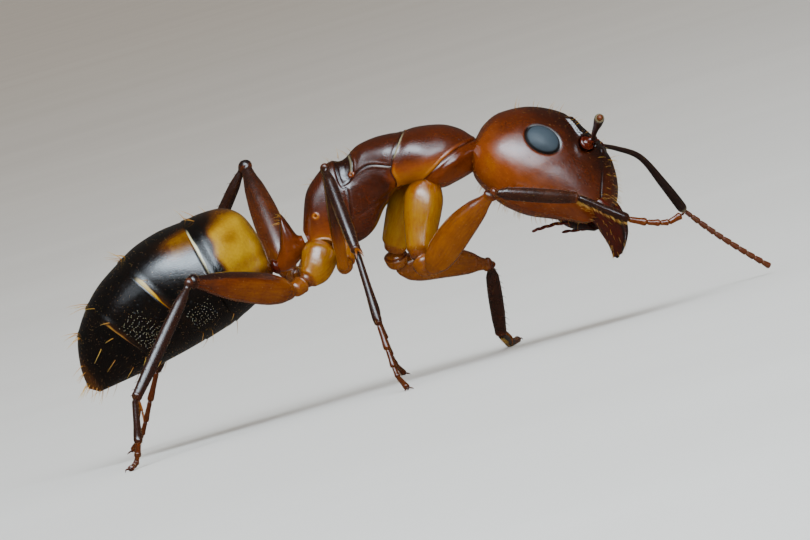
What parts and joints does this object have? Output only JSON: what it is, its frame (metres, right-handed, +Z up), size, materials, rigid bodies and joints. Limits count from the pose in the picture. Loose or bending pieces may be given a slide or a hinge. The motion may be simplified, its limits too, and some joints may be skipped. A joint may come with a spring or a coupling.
{
  "type": "carpenter ant",
  "caption": "Life-size carpenter ant worker, glossy red-brown head and mid-body, amber and black rear, standing with its right foreleg raised, elbowed feelers spread.",
  "frame": {"origin": "centre of the bounding box in plan, on the floor under the feet", "axes": "+X the way the ant faces, +Y its left side, +Z up; the longest extent runs along X"},
  "size_m": [0.014, 0.0126, 0.0053],
  "materials": {
    "head_shell": "glossy red-brown chitin with fine pits, amber at the lower edge",
    "face_dark": "glossy near-black chitin of the mandibles",
    "mouth_amber": "translucent amber chitin",
    "eye": "satin slate-grey compound eye with fine facets",
    "thorax_shell": "glossy chestnut chitin with a soft violet-grey gloss",
    "amber_shell": "translucent glossy amber chitin",
    "gaster_shell": "glossy black-brown chitin with pale segment margins",
    "gaster_front": "glossy black-brown chitin with an amber patch",
    "leg_brown": "glossy dark brown chitin with fine bristles",
    "foot_rust": "satin rust-brown chitin with fine bristles"
  },
  "bodies": {
    "root": {"head": "head_shell", "eye_r": "eye", "eye_l": "eye", "mandible_r": "face_dark", "mandible_l": "face_dark", "mouthparts": "mouth_amber", "scape_r": "leg_brown", "scape_l": "leg_brown", "funiculus_r": "leg_brown", "funiculus_l": "leg_brown", "pronotum": "thorax_shell", "propleura": "thorax_shell", "mesonotum": "thorax_shell", "mesopleura": "thorax_shell", "metanotum": "thorax_shell", "propodeum": "thorax_shell", "petiole": "thorax_shell", "gaster_1": "gaster_front", "gaster_2": "gaster_shell", "gaster_3": "gaster_shell", "gaster_4": "gaster_shell", "gaster_5": "gaster_shell", "leg_front_r_coxa": "amber_shell", "leg_front_r_trochanter": "amber_shell", "leg_front_r_femur": "amber_shell", "leg_front_r_tibia": "leg_brown", "leg_front_r_tarsus": "foot_rust", "leg_front_l_coxa": "amber_shell", "leg_front_l_trochanter": "amber_shell", "leg_front_l_femur": "amber_shell", "leg_front_l_tibia": "leg_brown", "leg_front_l_tarsus": "foot_rust", "leg_middle_r_coxa": "amber_shell", "leg_middle_r_trochanter": "amber_shell", "leg_middle_r_femur": "amber_shell", "leg_middle_r_tibia": "leg_brown", "leg_middle_r_tarsus": "foot_rust", "leg_middle_l_coxa": "amber_shell", "leg_middle_l_trochanter": "amber_shell", "leg_middle_l_femur": "amber_shell", "leg_middle_l_tibia": "leg_brown", "leg_middle_l_tarsus": "foot_rust", "leg_hind_r_coxa": "amber_shell", "leg_hind_r_trochanter": "amber_shell", "leg_hind_r_femur": "amber_shell", "leg_hind_r_tibia": "leg_brown", "leg_hind_r_tarsus": "foot_rust", "leg_hind_l_coxa": "amber_shell", "leg_hind_l_trochanter": "amber_shell", "leg_hind_l_femur": "amber_shell", "leg_hind_l_tibia": "leg_brown", "leg_hind_l_tarsus": "foot_rust"}
  },
  "joints": []
}
